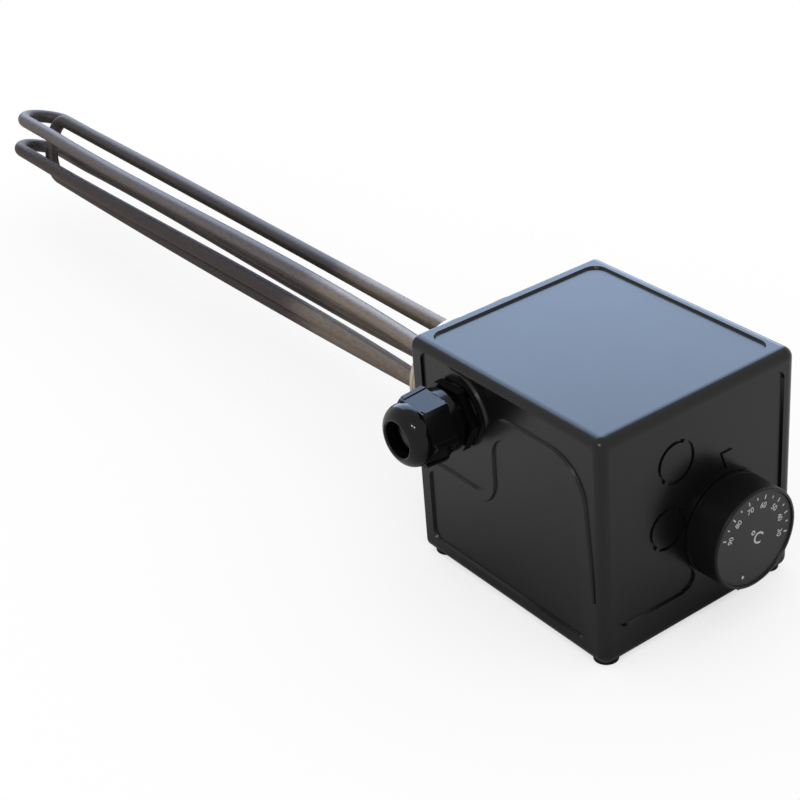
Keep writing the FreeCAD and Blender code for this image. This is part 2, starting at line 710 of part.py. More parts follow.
def hairpin(first, second, reach):
    # Two straight legs joined by a half ring whose outer tip lies at the given reach.
    ax, az = polar(leg_angles[first], LEG_CIRCLE_RADIUS)
    bx, bz = polar(leg_angles[second], LEG_CIRCLE_RADIUS)
    middle = Vector((ax + bx) / 2, 0, (az + bz) / 2)
    arm = Vector(ax, 0, az) - middle
    y_bend = reach - arm.Length - tube_radius
    start = Vector(ax, y_bend, az)
    section = Part.Face(Part.Wire(Part.makeCircle(tube_radius, start, Vector(0, 1, 0))))
    axis = arm.cross(Vector(0, 1, 0)).normalize()
    bend = section.revolve(middle + Vector(0, y_bend, 0), axis, 180)
    legs = [bar_y(tube_radius, x, z, y_tube, y_bend) for x, z in ((ax, az), (bx, bz))]
    return bend.fuse(legs).removeSplitter()


def element_pins():
    return [bar_y(pin_radius, *polar(a, LEG_CIRCLE_RADIUS), y_tube - PIN_LENGTH, y_tube) for a in leg_angles]


def element_beads():
    beads = []
    for a in leg_angles:
        x, z = polar(a, LEG_CIRCLE_RADIUS)
        bead = bar_y(BEAD_DIAMETER / 2, x, z, y_bead, y_tube)
        beads.append(bead.cut(bar_y(pin_radius + PIN_GAP, x, z, y_bead - OVERRUN, y_tube + OVERRUN)))
    return beads


def small_nut(x, z, y0, y1, bore, across_flats):
    nut = hexagon(across_flats, y0, y1, 0, Vector(x, 0, z), Vector(0, 1, 0))
    return nut.cut(bar_y(bore, x, z, y0 - OVERRUN, y1 + OVERRUN))


def pin_nuts():
    nuts = []
    for a in leg_angles:
        x, z = polar(a, LEG_CIRCLE_RADIUS)
        nuts.append(small_nut(x, z, y_link, y_bead, pin_radius + SCREW_FIT, PIN_NUT_ACROSS_FLATS))
    return nuts


def star_link():
    start = star_angles[0]
    sweep = star_angles[-1] - start
    inner = LEG_CIRCLE_RADIUS - STAR_LINK_WIDTH / 2
    x, z = polar(start, inner)
    u, w = polar(start, inner + STAR_LINK_WIDTH)
    edge = [Vector(x, y_pin_nut, z), Vector(u, y_pin_nut, w), Vector(u, y_link, w), Vector(x, y_link, z)]
    face = Part.Face(Part.makePolygon(edge + edge[:1]))
    link = face.revolve(Vector(0, 0, 0), Vector(0, -1, 0), sweep)
    for angle in star_angles:
        x, z = polar(angle, LEG_CIRCLE_RADIUS)
        link = link.fuse(bar_y(STAR_LINK_EYE / 2, x, z, y_pin_nut, y_link))
    for angle in star_angles:
        x, z = polar(angle, LEG_CIRCLE_RADIUS)
        link = link.cut(bar_y(pin_radius + PIN_GAP, x, z, y_pin_nut - OVERRUN, y_link + OVERRUN))
    return link.removeSplitter()


def sensor_pocket():
    outer = POCKET_DIAMETER / 2
    inner = outer - POCKET_WALL
    tube = bar_y(outer, 0, 0, y_tube, POCKET_REACH - outer)
    tube = tube.fuse(Part.makeSphere(outer, Vector(0, POCKET_REACH - outer, 0)))
    return tube.cut(bar_y(inner, 0, 0, y_tube - OVERRUN, POCKET_REACH - outer))


def tube_along(points, radius, bend):
    # Straight runs joined by tangent arcs of one radius.
    edges = []
    last = points[0]
    for k in range(1, len(points) - 1):
        to_before = (points[k - 1] - points[k]).normalize()
        to_after = (points[k + 1] - points[k]).normalize()
        half = to_before.getAngle(to_after) / 2
        reach = bend / math.tan(half)
        middle = (to_before + to_after).normalize()
        centre = points[k] + middle * (bend / math.sin(half))
        first = points[k] + to_before * reach
        second = points[k] + to_after * reach
        edges.append(Part.makeLine(last, first))
        edges.append(Part.Arc(first, centre - middle * bend, second).toShape())
        last = second
    edges.append(Part.makeLine(last, points[-1]))
    path = Part.Wire(edges)
    section = Part.Wire(Part.makeCircle(radius, points[0], (points[1] - points[0]).normalize()))
    return path.makePipeShell([section], True, False)


def sensor_bulb():
    tip = POCKET_REACH - POCKET_DIAMETER / 2 - BULB_END_GAP
    bulb = bar_y(BULB_DIAMETER / 2, 0, 0, tip - BULB_LENGTH, tip)
    bend_y = (y_tube + y_thermostat) / 2
    points = [
        Vector(0, tip - BULB_LENGTH, 0),
        Vector(0, bend_y + CAPILLARY_BEND, 0),
        Vector(KNOB_X, bend_y - CAPILLARY_BEND, KNOB_Z),
        Vector(KNOB_X, y_thermostat, KNOB_Z),
    ]
    return bulb.fuse(tube_along(points, CAPILLARY_DIAMETER / 2, CAPILLARY_BEND))


def housing_gasket():
    ring = bar_y(HOUSING_GASKET_DIAMETER / 2, 0, 0, y_gasket, y_hex)
    return ring.cut(bar_y(SPIGOT_DIAMETER / 2 + SPIGOT_GAP, 0, 0, y_gasket - OVERRUN, y_hex + OVERRUN))


def base_plate():
    x = inner_x - PLATE_GAP
    z = inner_z - PLATE_GAP
    plate = box(-x, x, y_plate, y_hood_rear, -z, z)
    corners = [e for e in plate.Edges if e.BoundBox.YLength > PLATE_THICKNESS / 2]
    plate = plate.makeFillet(HOOD_INNER_RADIUS, corners)
    px = x - PLATE_RIM
    pz = z - PLATE_RIM
    pocket = box(-px, px, y_plate - OVERRUN, y_hood_rear - PLATE_SKIN, -pz, pz)
    keep = [bar_y(LOCKNUT_DIAMETER / 2 + PLATE_RIB / 2, 0, 0, y_plate, y_hood_rear)]
    for sx, sz in screw_places:
        keep.append(bar_y(HOOD_SCREW_HEAD / 2 + PLATE_RIB, sx, sz, y_plate, y_hood_rear))
    for k in range(PLATE_RIB_COUNT):
        rib = box(0, 2 * x, y_plate, y_hood_rear, -PLATE_RIB / 2, PLATE_RIB / 2)
        rib.rotate(Vector(0, 0, 0), Vector(0, 1, 0), k * 360.0 / PLATE_RIB_COUNT)
        keep.append(rib)
    for bx in bracket_screw_places():
        keep.append(bar_y(BRACKET_SCREW_DIAMETER, bx, bracket_screw_z(), y_plate, y_hood_rear))
    for part in keep:
        pocket = pocket.cut(part)
    plate = plate.cut(pocket)
    r = COLLAR_DIAMETER / 2
    t = COLLAR_THICKNESS
    e = COLLAR_EDGE
    collar = [(0, 0), (r, 0), (r, t - e), (r - e / 3, t - e / 3), (r - e, t), (0, t)]
    plate = plate.fuse(turned(collar, Vector(0, y_hood_rear, 0), Vector(0, 1, 0)))
    plate = plate.cut(bar_y(SPIGOT_DIAMETER / 2 + SPIGOT_GAP, 0, 0, y_plate - OVERRUN, y_gasket + OVERRUN))
    for sx, sz in screw_places:
        hole = HOOD_SCREW_DIAMETER / 2 + SCREW_CLEARANCE
        sink = HOOD_SCREW_HEAD / 2 + SCREW_CLEARANCE
        seat = y_hood_rear - HOOD_SCREW_HEAD_HEIGHT
        plate = plate.cut(bar_y(hole, sx, sz, y_plate - OVERRUN, y_hood_rear + OVERRUN))
        plate = plate.cut(bar_y(sink, sx, sz, seat, y_hood_rear + OVERRUN))
    for bx in bracket_screw_places():
        hole = BRACKET_SCREW_DIAMETER / 2 + SCREW_FIT
        depth = y_plate + BRACKET_SCREW_IN_PLATE
        plate = plate.cut(bar_y(hole, bx, bracket_screw_z(), y_plate - OVERRUN, depth))
    return plate


def hood_screws():
    screws = []
    for x, z in screw_places:
        seat = y_hood_rear - HOOD_SCREW_HEAD_HEIGHT
        sizes = (HOOD_SCREW_DIAMETER, HOOD_SCREW_LENGTH, HOOD_SCREW_HEAD, HOOD_SCREW_HEAD_HEIGHT)
        screws.append(pan_screw_y(x, z, seat, *sizes, -1))
    return screws


def locknut():
    outer = LOCKNUT_DIAMETER / 2
    nut = bar_y(outer, 0, 0, y_locknut, y_plate)
    nut = nut.cut(bar_y(SPIGOT_DIAMETER / 2 + SCREW_FIT, 0, 0, y_locknut - OVERRUN, y_plate + OVERRUN))
    for k in range(LOCKNUT_SLOTS):
        half = LOCKNUT_SLOT_WIDTH / 2
        floor = outer - LOCKNUT_SLOT_DEPTH
        slot = box(floor, outer + OVERRUN, y_locknut - OVERRUN, y_plate + OVERRUN, -half, half)
        slot.rotate(Vector(0, 0, 0), Vector(0, 1, 0), k * 360.0 / LOCKNUT_SLOTS)
        nut = nut.cut(slot)
    return nut


def earth_stud():
    x, z = polar(earth_angle, LEG_CIRCLE_RADIUS)
    end = y_spigot + EARTH_IN_PLUG
    return bar_y(EARTH_DIAMETER / 2, x, z, end - EARTH_LENGTH, end)


def earth_nut():
    x, z = polar(earth_angle, LEG_CIRCLE_RADIUS)
    bore = EARTH_DIAMETER / 2 + SCREW_FIT
    return small_nut(x, z, y_spigot - EARTH_NUT_THICKNESS, y_spigot, bore, PIN_NUT_ACROSS_FLATS)


def bracket_screw_places():
    return (BRACKET_X - BRACKET_SCREW_SPACING / 2, BRACKET_X + BRACKET_SCREW_SPACING / 2)


def bracket_screw_z():
    return bracket_z + BRACKET_FOOT / 2 + BRACKET_SHEET / 2


def terminal_bracket():
    # An angle bent from sheet: the foot lies on the base plate and the shelf carries the block.
    t = BRACKET_SHEET
    corners = [
        (y_plate, bracket_z + BRACKET_FOOT),
        (y_plate, bracket_z),
        (y_plate - BRACKET_REACH, bracket_z),
        (y_plate - BRACKET_REACH, bracket_z + t),
        (y_plate - t, bracket_z + t),
        (y_plate - t, bracket_z + BRACKET_FOOT),
    ]
    x0 = BRACKET_X - BRACKET_WIDTH / 2
    points = [Vector(x0, y, z) for y, z in corners]
    angle = Part.Face(Part.makePolygon(points + points[:1])).extrude(Vector(BRACKET_WIDTH, 0, 0))
    corner = Vector(BRACKET_X, y_plate, bracket_z)
    bend = [e for e in angle.Edges if (e.CenterOfMass - corner).Length < t / 4]
    angle = angle.makeFillet(BRACKET_BEND, bend)
    for x in bracket_screw_places():
        hole = BRACKET_SCREW_DIAMETER / 2 + SCREW_CLEARANCE
        angle = angle.cut(bar_y(hole, x, bracket_screw_z(), y_plate - BRACKET_BEND, y_plate + OVERRUN))
    for x in block_screw_places():
        hole = BLOCK_SCREW_DIAMETER / 2 + SCREW_FIT
        angle = angle.cut(bar_z(hole, x, block_y(), bracket_z - OVERRUN, bracket_z + BRACKET_BEND))
    return angle


def bracket_screws():
    length = BRACKET_SHEET + BRACKET_SCREW_IN_PLATE
    sizes = (BRACKET_SCREW_DIAMETER, length, BRACKET_SCREW_HEAD, BRACKET_SCREW_HEAD_HEIGHT)
    z = bracket_screw_z()
    return [pan_screw_y(x, z, y_plate - BRACKET_SHEET, *sizes, 1) for x in bracket_screw_places()]


def block_y():
    return y_plate - BRACKET_REACH + BLOCK_FROM_END + BLOCK_LENGTH / 2


def block_half():
    return BLOCK_POLES * BLOCK_PITCH / 2


def block_screw_places():
    return (BRACKET_X - block_half() - BLOCK_EAR / 2, BRACKET_X + block_half() + BLOCK_EAR / 2)


def pole_places():
    return [BRACKET_X + (k - (BLOCK_POLES - 1) / 2) * BLOCK_PITCH for k in range(BLOCK_POLES)]


def clamp_screw_places():
    return (block_y() - CLAMP_SCREW_SPACING / 2, block_y() + CLAMP_SCREW_SPACING / 2)


def terminal_block():
    z0 = bracket_z + BRACKET_SHEET
    y0 = block_y() - BLOCK_LENGTH / 2
    y1 = block_y() + BLOCK_LENGTH / 2
    half = block_half()
    block = box(BRACKET_X - half, BRACKET_X + half, y0, y1, z0, z0 + BLOCK_HEIGHT)
    reach = half + BLOCK_EAR
    block = block.fuse(box(BRACKET_X - reach, BRACKET_X + reach, y0, y1, z0, z0 + BLOCK_EAR_HEIGHT))
    for x in pole_places():
        wide = CLAMP_WIDTH / 2 + BLOCK_GAP
        low = z0 + CLAMP_ABOVE_FOOT
        high = low + CLAMP_HEIGHT + BLOCK_GAP
        block = block.cut(box(x - wide, x + wide, y0 - OVERRUN, y1 + OVERRUN, low, high))
        for y in clamp_screw_places():
            hole = CLAMP_SCREW_HEAD / 2 + BLOCK_GAP
            block = block.cut(bar_z(hole, x, y, low + CLAMP_HEIGHT, z0 + BLOCK_HEIGHT + OVERRUN))
    for x in block_screw_places():
        hole = BLOCK_SCREW_DIAMETER / 2 + BLOCK_GAP
        block = block.cut(bar_z(hole, x, block_y(), z0 - OVERRUN, z0 + BLOCK_EAR_HEIGHT + OVERRUN))
    return block


def terminal_clamps():
    clamps = []
    low = bracket_z + BRACKET_SHEET + CLAMP_ABOVE_FOOT
    y0 = block_y() - CLAMP_LENGTH / 2
    y1 = block_y() + CLAMP_LENGTH / 2
    for x in pole_places():
        clamp = box(x - CLAMP_WIDTH / 2, x + CLAMP_WIDTH / 2, y0, y1, low, low + CLAMP_HEIGHT)
        clamp = clamp.cut(bar_y(CLAMP_BORE / 2, x, low + CLAMP_HEIGHT / 2, y0 - OVERRUN, y1 + OVERRUN))
        for y in clamp_screw_places():
            hole = CLAMP_SCREW_DIAMETER / 2 + SCREW_FIT
            clamp = clamp.cut(bar_z(hole, x, y, low + CLAMP_HEIGHT / 2, low + CLAMP_HEIGHT + OVERRUN))
        clamps.append(clamp)
    return clamps


def screw_z(x, y, z_seat, shank, length, head, head_height):
    # A slotted screw along Z, its head on z_seat and its shank below.
    screw = bar_z(head / 2, x, y, z_seat, z_seat + head_height)
    screw = screw.fuse(bar_z(shank / 2, x, y, z_seat - length, z_seat))
    half = head * SCREW_SLOT_WIDTH / 2
    low = z_seat + head_height / 2
    return screw.cut(box(x - head, x + head, y - half, y + half, low, low + head_height))


def terminal_screws():
    seat = bracket_z + BRACKET_SHEET + CLAMP_ABOVE_FOOT + CLAMP_HEIGHT
    sizes = (CLAMP_SCREW_DIAMETER, CLAMP_HEIGHT / 2, CLAMP_SCREW_HEAD, CLAMP_SCREW_HEAD_HEIGHT)
    places = [(x, y) for x in pole_places() for y in clamp_screw_places()]
    return [screw_z(x, y, seat + BLOCK_GAP, *sizes) for x, y in places]


def block_screws():
    seat = bracket_z + BRACKET_SHEET + BLOCK_EAR_HEIGHT
    length = BLOCK_EAR_HEIGHT + BRACKET_SHEET + BLOCK_SCREW_TAIL
    sizes = (BLOCK_SCREW_DIAMETER, length, BLOCK_SCREW_HEAD, BLOCK_SCREW_HEAD_HEIGHT)
    return [screw_z(x, block_y(), seat, *sizes) for x in block_screw_places()]


def thermostat_body():
    x0 = KNOB_X - THERMOSTAT_WIDTH / 2
    x1 = KNOB_X + THERMOSTAT_WIDTH / 2
    z0 = KNOB_Z - THERMOSTAT_HEIGHT / 2
    z1 = KNOB_Z + THERMOSTAT_HEIGHT / 2
    body = box(x0, x1, y_strap, y_thermostat, z0, z1)
    edges = [e for e in body.Edges if e.BoundBox.YLength > THERMOSTAT_DEPTH / 2]
    body = body.makeFillet(HOOD_INNER_RADIUS, edges)
    half = THERMOSTAT_STRAP_HEIGHT / 2
    body = body.fuse(box(x0, x1, y_inner_front, y_strap, KNOB_Z - half, KNOB_Z + half))
    bushing_end = y_inner_front - BUSHING_LENGTH
    body = body.fuse(bar_y(BUSHING_DIAMETER / 2, KNOB_X, KNOB_Z, bushing_end, y_strap))
    for sx in (-1, 0, 1):
        for sz in (-1, 1):
            x = KNOB_X + sx * THERMOSTAT_TAB_PITCH
            z = KNOB_Z + sz * THERMOSTAT_TAB_PITCH
            w = THERMOSTAT_TAB_WIDTH / 2
            t = THERMOSTAT_TAB_THICKNESS / 2
            end = y_thermostat + THERMOSTAT_TAB_LENGTH
            body = body.fuse(box(x - w, x + w, y_thermostat - OVERRUN, end, z - t, z + t))
    bore = SPINDLE_DIAMETER / 2 + SPINDLE_GAP
    depth = y_strap + SPINDLE_IN_BODY + KNOB_GAP
    body = body.cut(bar_y(bore, KNOB_X, KNOB_Z, bushing_end - OVERRUN, depth))
    for x in thermostat_screw_places():
        hole = THERMOSTAT_SCREW_DIAMETER / 2 + SCREW_FIT
        end = y_hood_front + THERMOSTAT_SCREW_LENGTH + 1
        body = body.cut(bar_y(hole, x, KNOB_Z, y_inner_front - OVERRUN, end))
    return body


def thermostat_screws():
    sizes = (THERMOSTAT_SCREW_DIAMETER, THERMOSTAT_SCREW_LENGTH)
    sizes += (THERMOSTAT_SCREW_HEAD, THERMOSTAT_SCREW_HEAD_HEIGHT)
    return [pan_screw_y(x, KNOB_Z, y_hood_front, *sizes, 1) for x in thermostat_screw_places()]


def spindle_flat(clearance):
    # The material above the spindle's flat, over the length that the knob's hub holds.
    r = SPINDLE_DIAMETER / 2
    y0 = y_dial_back
    flat = KNOB_Z + r - SPINDLE_FLAT + clearance
    return box(KNOB_X - 2 * r, KNOB_X + 2 * r, y0, y0 + SPINDLE_FLAT_LENGTH, flat, KNOB_Z + 2 * r)


def thermostat_spindle():
    y1 = y_strap + SPINDLE_IN_BODY
    rod = bar_y(SPINDLE_DIAMETER / 2, KNOB_X, KNOB_Z, y_dial_back, y1)
    return rod.cut(spindle_flat(0))


def knob():
    base = KNOB_BASE_DIAMETER / 2
    rim = KNOB_RIM_DIAMETER / 2
    ring = KNOB_BASE_RING
    front = KNOB_HEIGHT
    e = KNOB_EDGE_RADIUS
    dial = front - DIAL_DEPTH
    back = dial - DIAL_THICKNESS
    outside = [
        (0, dial),
        (rim - KNOB_LIP - DIAL_DEPTH / 2, dial),
        (rim - KNOB_LIP, front),
        (rim - e, front),
        (rim - e + e * math.sqrt(0.5), front - e + e * math.sqrt(0.5)),
        (rim, front - e),
        (base, ring + KNOB_GROOVE),
        (base - KNOB_GROOVE, ring + KNOB_GROOVE / 2),
        (base, ring),
        (base, 0),
        (base - KNOB_WALL, 0),
        (rim - KNOB_WALL, back),
        (0, back),
    ]
    centre = Vector(KNOB_X, y_knob_back, KNOB_Z)
    ahead = Vector(0, -1, 0)
    shell = turned(outside, centre, ahead)
    hub = KNOB_HUB_DIAMETER / 2
    shell = shell.fuse(bar_y(hub, KNOB_X, KNOB_Z, y_dial_back - OVERRUN, y_dial_back + KNOB_HUB_LENGTH))
    for k in range(KNOB_RIB_COUNT):
        reach = rim - KNOB_WALL / 2
        rib = box(KNOB_X, KNOB_X + reach, y_dial_back - OVERRUN, y_dial_back + KNOB_RIB_DEPTH,
                  KNOB_Z - KNOB_RIB / 2, KNOB_Z + KNOB_RIB / 2)
        rib.rotate(Vector(KNOB_X, 0, KNOB_Z), Vector(0, 1, 0), k * 360.0 / KNOB_RIB_COUNT)
        shell = shell.fuse(rib)
    bore = bar_y(SPINDLE_DIAMETER / 2 + SPINDLE_GAP, KNOB_X, KNOB_Z, y_dial_back, y_knob_back + OVERRUN)
    shell = shell.cut(bore.cut(spindle_flat(SPINDLE_GAP)))
    for angle in GRIP_ANGLES:
        turn = math.radians(angle)
        x = KNOB_X - base * math.sin(turn)
        z = KNOB_Z + base * math.cos(turn)
        grip = bar_y(GRIP_DIAMETER / 2, x, z, y_knob_front + 2 * e, y_knob_back - ring - KNOB_GROOVE)
        shell = shell.fuse(grip.cut(bar_y(base - KNOB_WALL / 2, KNOB_X, KNOB_Z, y_knob_front, y_knob_back)))
    return shell


def gland_centre():
    return Vector(0, y_gland, GLAND_Z)


def gland_bar(radius, h0, h1):
    return placed(Part.makeCylinder(radius, h1 - h0, Vector(0, 0, h0)), gland_centre(), Vector(-1, 0, 0))


def gland_body():
    out = Vector(-1, 0, 0)
    thread = GLAND_THREAD_DIAMETER / 2
    neck = GLAND_NECK_DIAMETER / 2
    tip = GLAND_FINGER_TIP_DIAMETER / 2
    bore = GLAND_BORE / 2
    profile = [
        (bore, h_gland_inner),
        (thread - GLAND_CHAMFER, h_gland_inner),
        (thread, h_gland_inner + GLAND_CHAMFER),
        (thread, h_gland_hex + GLAND_CHAMFER),
        (neck, h_gland_hex + GLAND_CHAMFER),
        (neck, h_gland_finger),
        (neck - GLAND_CHAMFER, h_gland_finger + GLAND_CHAMFER),
        (tip, h_gland_tip),
        (bore, h_gland_tip),
    ]
    stance = (h_gland_hex, h_gland_neck, GLAND_HEX_TURN, gland_centre(), out)
    collar = hexagon(GLAND_HEX_ACROSS_FLATS, *stance).cut(gland_bar(bore, h_gland_inner, h_gland_tip))
    body = turned(profile, gland_centre(), out).fuse(collar)
    for k in range(GLAND_FINGERS):
        half = GLAND_FINGER_SLOT / 2
        root = h_gland_finger + GLAND_CHAMFER
        slot = box(bore - OVERRUN, neck + OVERRUN, -half, half, root, h_gland_tip + OVERRUN)
        slot.rotate(Vector(0, 0, 0), Vector(0, 0, 1), (k + 0.5) * 360.0 / GLAND_FINGERS)
        body = body.cut(placed(slot, gland_centre(), out))
    return body


def gland_gasket():
    inner = GLAND_THREAD_DIAMETER / 2 + GLAND_HOLE_CLEARANCE
    outer = inner + GLAND_GASKET_WIDTH
    profile = [(inner, h_gland_floor), (outer, h_gland_floor), (outer, h_gland_hex), (inner, h_gland_hex)]
    return turned(profile, gland_centre(), Vector(-1, 0, 0))


def gland_locknut():
    rear = inner_x - GLAND_LOCKNUT_THICKNESS
    out = Vector(-1, 0, 0)
    nut = hexagon(GLAND_LOCKNUT_ACROSS_FLATS, rear, inner_x, 0, gland_centre(), out)
    return nut.cut(gland_bar(GLAND_THREAD_DIAMETER / 2 + SCREW_FIT, h_gland_inner, inner_x + OVERRUN))


def gland_seal():
    outer = GLAND_BORE / 2 - SEAL_GAP
    inner = SEAL_BORE / 2
    rear = h_gland_tip - SEAL_LENGTH
    profile = [
        (inner, rear + SEAL_LIP),
        (inner + SEAL_LIP, rear),
        (outer, rear),
        (outer, h_gland_tip + SEAL_LIP),
        (outer - SEAL_LIP, h_gland_tip + 2 * SEAL_LIP),
        (inner + SEAL_LIP, h_gland_tip + 2 * SEAL_LIP),
        (inner, h_gland_tip + SEAL_LIP),
    ]
    return turned(profile, gland_centre(), Vector(-1, 0, 0))


def gland_nut():
    out = Vector(-1, 0, 0)
    collar = NUT_COLLAR_DIAMETER / 2
    front = NUT_HEX_FRONT / 2
    corner = NUT_HEX_REAR / 2 / math.cos(math.pi / 6)
    recess = 2 * NUT_FLAT_RECESS
    body = turned([(0, h_nut), (collar, h_nut), (collar, h_nut_hex), (0, h_nut_hex)], gland_centre(), out)
    # Sunk flats between raised strips along the six corners, chamfered at both ends
    stance = (h_nut_hex, h_nut_dome, NUT_HEX_TURN, gland_centre(), out)
    prism = hexagon(NUT_HEX_REAR, *stance, NUT_HEX_FRONT)
    flats = hexagon(NUT_HEX_REAR - recess, *stance, NUT_HEX_FRONT - recess)
    limit = [
        (0, h_nut_hex),
        (corner - NUT_RIM, h_nut_hex),
        (corner, h_nut_hex + NUT_RIM),
        (corner, h_nut_dome - NUT_CORNER_CHAMFER),
        (front, h_nut_dome),
        (0, h_nut_dome),
    ]
    prism = prism.common(turned(limit, gland_centre(), out))
    for k in range(6):
        half = NUT_CORNER_STRIP / 2
        strip = box(0, corner + OVERRUN, -half, half, h_nut_hex, h_nut_dome)
        strip.rotate(Vector(0, 0, 0), Vector(0, 0, 1), NUT_HEX_TURN + 60 * k)
        flats = flats.fuse(prism.common(placed(strip, gland_centre(), out)))
    body = body.fuse([flats, gland_nut_dome()])
    return body.cut(gland_nut_hollow())


def gland_nut_dome():
    # The dome swells a little beyond the flats, then rounds in to the rim of the cable hole.
    front = NUT_HEX_FRONT / 2
    hole = NUT_HOLE_DIAMETER / 2
    rim = hole + NUT_RIM
    half_way = math.sqrt(0.5)
    swell = (rim + (front - rim) * half_way, h_nut_dome + NUT_DOME_LENGTH * half_way)
    start = Vector(front, 0, h_nut_dome)
    top = Vector(rim, 0, h_nut_end)
    lip = Vector(hole, 0, h_nut_end - NUT_RIM)
    inward = NUT_RIM * (1 - math.sqrt(0.5))
    lip_middle = Vector(hole + inward, 0, h_nut_end - inward)
    inner = [Vector(0, 0, h_nut_end - NUT_RIM), Vector(0, 0, h_nut_dome)]
    edges = [
        Part.Arc(start, Vector(swell[0], 0, swell[1]), top).toShape(),
        Part.Arc(top, lip_middle, lip).toShape(),
        Part.makeLine(lip, inner[0]),
        Part.makeLine(inner[0], inner[1]),
        Part.makeLine(inner[1], start),
    ]
    face = Part.Face(Part.Wire(edges))
    return placed(face.revolve(Vector(0, 0, 0), Vector(0, 0, 1), 360), gland_centre(), Vector(-1, 0, 0))


def gland_nut_hollow():
    inside = GLAND_NECK_DIAMETER / 2 + GLAND_NUT_GAP
    tip = GLAND_FINGER_TIP_DIAMETER / 2 + GLAND_NUT_GAP
    hole = NUT_HOLE_DIAMETER / 2
    hollow = [
        (0, h_nut - OVERRUN),
        (inside, h_nut - OVERRUN),
        (inside, h_gland_finger + GLAND_NUT_GAP),
        (tip, h_gland_tip + GLAND_NUT_GAP),
        (tip, h_seal_end),
        (hole, h_seal_end + tip - hole),
        (hole, h_nut_end + OVERRUN),
        (0, h_nut_end + OVERRUN),
    ]
    return turned(hollow, gland_centre(), Vector(-1, 0, 0))


def write(name, shape):
    solids = shape if isinstance(shape, list) else [shape]
    if len(solids) == 1:
        whole = solids[0]
    else:
        whole = Part.makeCompound(solids)
    whole.exportStep("parts/" + name + ".step")


os.makedirs("parts", exist_ok=True)
write("hood", hood())
write("base_plate", base_plate())
write("hood_screws", hood_screws())
write("plug", plug())
write("housing_gasket", housing_gasket())
write("locknut", locknut())
write("element_upper", hairpin(0, 2, LONG_HAIRPIN_REACH))
write("element_lower", hairpin(5, 3, LONG_HAIRPIN_REACH))
write("element_cross", hairpin(1, 4, CROSS_HAIRPIN_REACH))
write("sensor_pocket", sensor_pocket())
write("sensor_bulb", sensor_bulb())
write("element_pins", element_pins())
write("element_beads", element_beads())
write("pin_nuts", pin_nuts())
write("star_link", star_link())
write("earth_stud", earth_stud())
write("earth_nut", earth_nut())
write("terminal_bracket", terminal_bracket())
write("bracket_screws", bracket_screws())
write("terminal_block", terminal_block())
write("terminal_clamps", terminal_clamps())
write("terminal_screws", terminal_screws())
write("block_screws", block_screws())
write("thermostat_body", thermostat_body())
write("thermostat_screws", thermostat_screws())
write("thermostat_spindle", thermostat_spindle())
write("knob", knob())
write("gland_body", gland_body())
write("gland_gasket", gland_gasket())
write("gland_locknut", gland_locknut())
write("gland_seal", gland_seal())
write("gland_nut", gland_nut())
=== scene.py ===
import json
import math

import bpy
import numpy as np
from mathutils import Matrix, Vector


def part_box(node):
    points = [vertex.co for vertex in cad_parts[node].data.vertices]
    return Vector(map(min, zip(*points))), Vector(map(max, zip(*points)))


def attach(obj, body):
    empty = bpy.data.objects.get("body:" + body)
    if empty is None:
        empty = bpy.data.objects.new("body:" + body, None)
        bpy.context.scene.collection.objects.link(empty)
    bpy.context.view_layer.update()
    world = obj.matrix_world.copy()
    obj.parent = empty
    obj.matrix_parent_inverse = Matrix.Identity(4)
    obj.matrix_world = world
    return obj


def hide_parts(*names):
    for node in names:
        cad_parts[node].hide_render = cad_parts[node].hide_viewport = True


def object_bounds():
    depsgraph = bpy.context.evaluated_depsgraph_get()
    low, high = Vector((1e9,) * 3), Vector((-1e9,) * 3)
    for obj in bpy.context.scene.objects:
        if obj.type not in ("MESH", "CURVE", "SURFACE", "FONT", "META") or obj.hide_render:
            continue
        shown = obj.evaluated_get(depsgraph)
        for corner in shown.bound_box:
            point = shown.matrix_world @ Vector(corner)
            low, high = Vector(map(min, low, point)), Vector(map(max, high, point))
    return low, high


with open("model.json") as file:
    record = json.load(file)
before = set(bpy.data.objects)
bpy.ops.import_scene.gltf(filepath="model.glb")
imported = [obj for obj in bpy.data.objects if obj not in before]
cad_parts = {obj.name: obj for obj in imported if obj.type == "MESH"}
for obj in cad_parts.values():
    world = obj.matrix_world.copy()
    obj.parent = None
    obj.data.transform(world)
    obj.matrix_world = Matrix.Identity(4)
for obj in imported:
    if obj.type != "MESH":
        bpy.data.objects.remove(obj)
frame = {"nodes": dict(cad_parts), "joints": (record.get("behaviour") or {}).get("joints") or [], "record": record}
cad_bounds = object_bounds()
MM = 0.001

# Camera, solved from the hood's outline in the photograph
VIEW_AZIMUTH = -34.47
VIEW_ELEVATION = 29.35
VIEW_ROLL = -4.97
VIEW_CENTRE = Vector((0, -84.0, 0)) * MM
VIEW_OFFSET = Vector((94.66, -40.60, -837.1)) * MM
VIEW_FOCAL_PIXELS = 1822.27
VIEW_PRINCIPAL = (394.62, 362.66)
FRAME_PIXELS = 800

# Sizes that the solids leave to this script
THREAD_PITCH = 2.309 * MM
THREAD_DEPTH = 1.479 * MM
TUBE_RADIUS = 4.25 * MM
TUBE_START = -42.4 * MM
LEG_CIRCLE = 17.25 * MM
